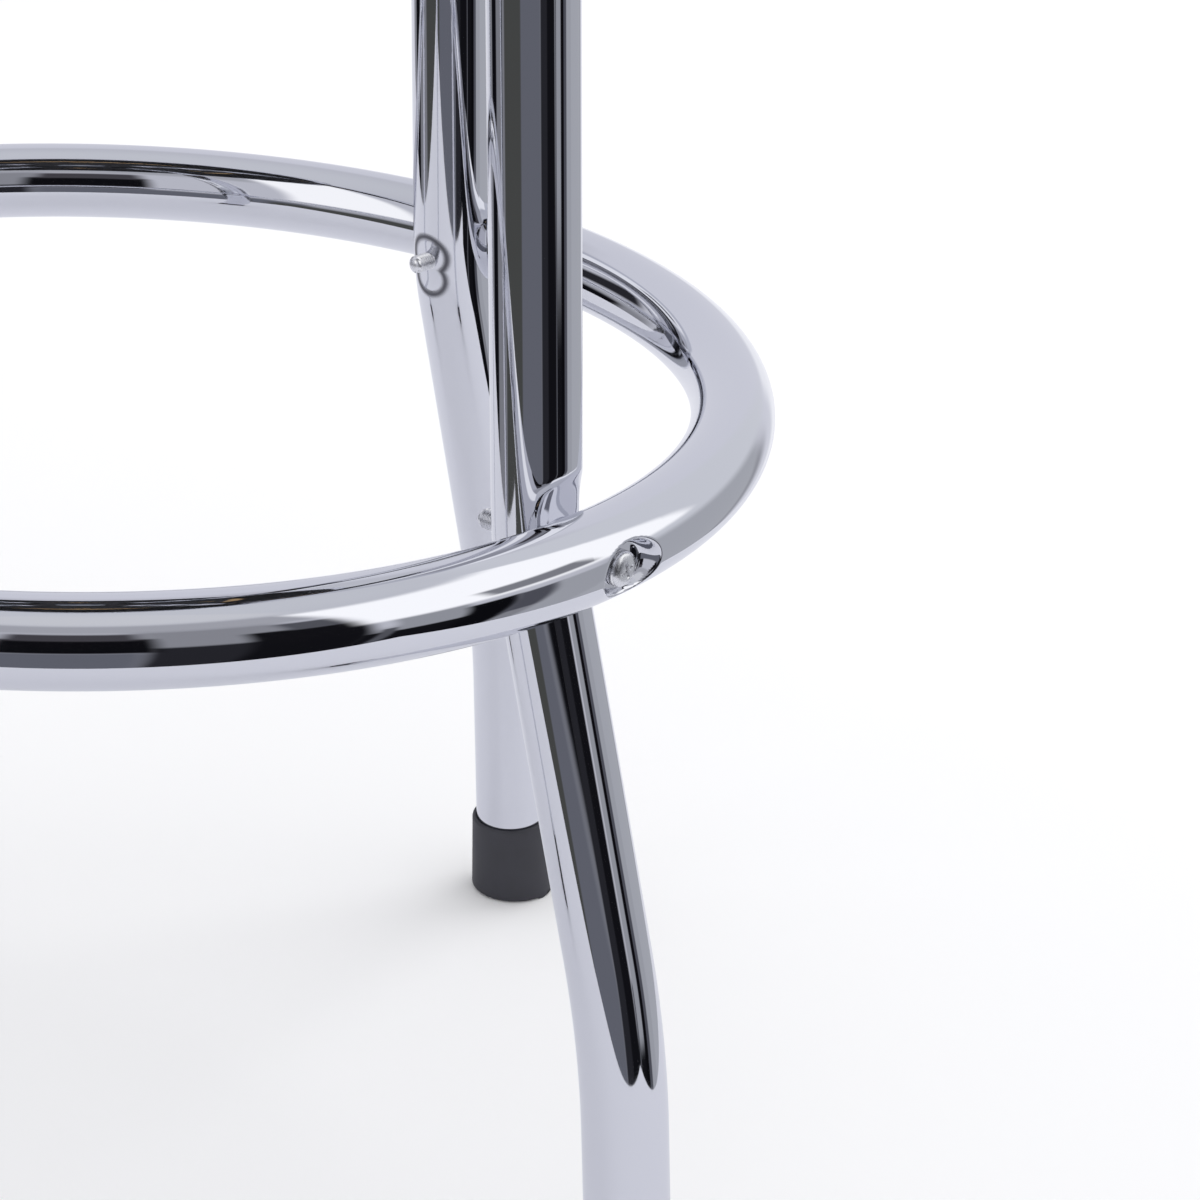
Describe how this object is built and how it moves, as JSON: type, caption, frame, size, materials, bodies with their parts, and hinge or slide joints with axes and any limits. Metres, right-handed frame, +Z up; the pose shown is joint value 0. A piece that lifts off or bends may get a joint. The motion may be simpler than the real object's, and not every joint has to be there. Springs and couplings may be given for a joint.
{
  "type": "mechanic stool",
  "caption": "Round padded swivel stool on bent chrome tube legs that stand in rubber tips, tied by a chrome foot ring screwed into pressed saddles, with a chrome band round the seat.",
  "frame": {"origin": "on the floor under the middle of the seat", "axes": "+Z up along the swivel axis, the legs stand on the diagonals, -Y is the side in the picture"},
  "size_m": [0.4183, 0.4182, 0.737],
  "materials": {
    "chrome_tube": "polished",
    "chrome_band": "polished",
    "bright_screw": "bright plated",
    "rubber_tip": "matte",
    "zinc": "zinc plated",
    "zinc_yellow": "yellow passivated zinc",
    "black_plastic": "moulded",
    "black_plate": "black powder coat",
    "polished_ball": "polished",
    "plywood": "sanded",
    "seat_foam": "open cell foam",
    "black_vinyl": "fine grain vinyl",
    "vinyl_piping": "fine grain vinyl",
    "dust_cloth": "non-woven",
    "staple_wire": "galvanised"
  },
  "bodies": {
    "frame": {"leg_front_right": "chrome_tube", "leg_rear_right": "chrome_tube", "leg_rear_left": "chrome_tube", "leg_front_left": "chrome_tube", "foot_ring": "chrome_tube", "ring_screws": "bright_screw", "leg_nuts": "zinc_yellow", "tip_front_right": "rubber_tip", "tip_rear_right": "rubber_tip", "tip_rear_left": "rubber_tip", "tip_front_left": "rubber_tip", "tip_washers": "zinc", "leg_plugs": "black_plastic", "leg_bolts": "zinc", "saddle_washers": "black_plastic", "bolt_nuts": "zinc", "lower_plate": "black_plate"},
    "cage": {"bearing_balls": "polished_ball", "ball_cage": "zinc_yellow"},
    "seat": {"upper_plate": "black_plate", "king_pin": "zinc", "pin_washer": "zinc", "seat_screws": "zinc", "tee_nuts": "zinc_yellow", "seat_board": "plywood", "seat_foam": "seat_foam", "seat_cover": "black_vinyl", "seat_piping": "vinyl_piping", "seat_band": "chrome_band", "band_screws": "bright_screw", "dust_cover": "dust_cloth", "staples": "staple_wire"}
  },
  "joints": [
    {"name": "seat_swivel", "type": "hinge", "parent": "frame", "child": "seat", "pos_m": [0, 0, 0.6651], "axis": [0, 0, 1], "continuous": true},
    {"name": "cage_turn", "type": "hinge", "parent": "frame", "child": "cage", "pos_m": [0, 0, 0.6651], "axis": [0, 0, 1], "continuous": true}
  ],
  "couplings": [
    {"joint": "cage_turn", "follows": "seat_swivel", "ratio": 0.5}
  ]
}
